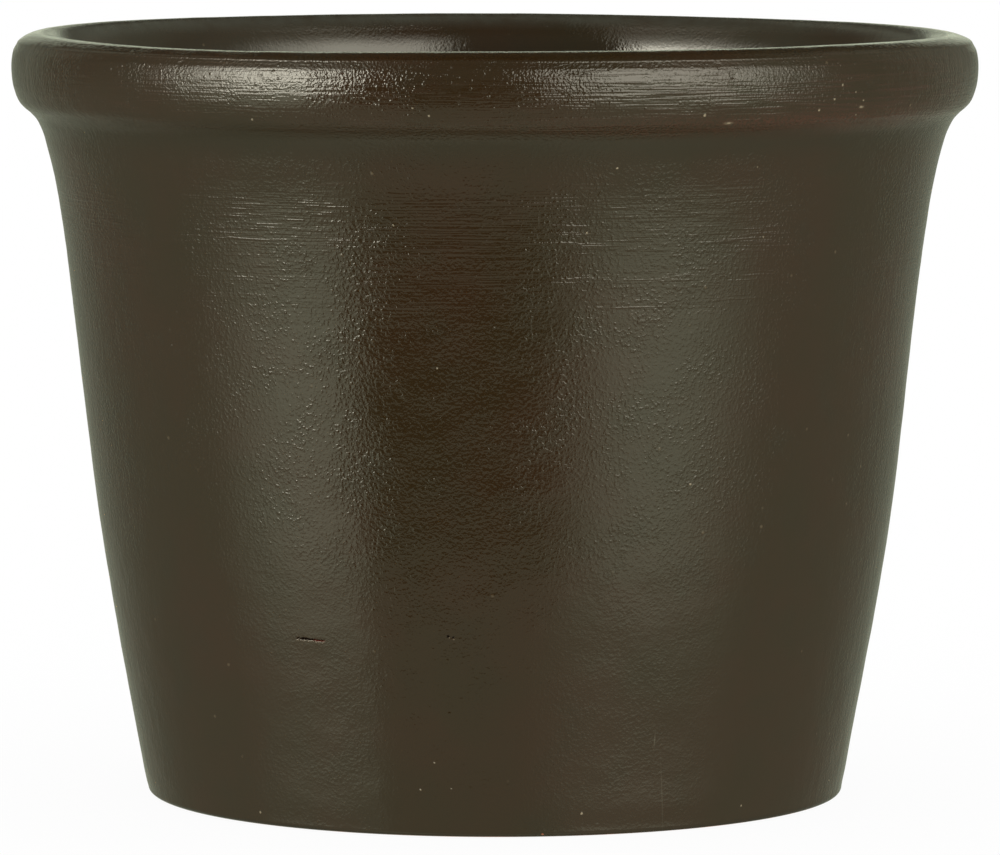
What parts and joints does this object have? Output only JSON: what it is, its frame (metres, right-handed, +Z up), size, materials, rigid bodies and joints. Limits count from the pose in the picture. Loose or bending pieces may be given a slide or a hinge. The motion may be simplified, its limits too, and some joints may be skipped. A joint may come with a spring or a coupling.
{
  "type": "terracotta pot",
  "caption": "Round glazed terracotta plant pot with a flaring wall, a thick rolled rim, a flat foot and a drainage hole in the floor.",
  "frame": {"origin": "on the pot's axis, in the plane of the foot it stands on", "axes": "+Z up along the pot's axis; the pot is round, so X and Y are any two level directions, and the pictured side faces -Y"},
  "size_m": [0.16, 0.16, 0.1263],
  "materials": {
    "glaze": "glossy dark brown glaze over red clay, fine thrown lines, small pits and specks"
  },
  "bodies": {
    "root": {"pot": "glaze"}
  },
  "joints": []
}
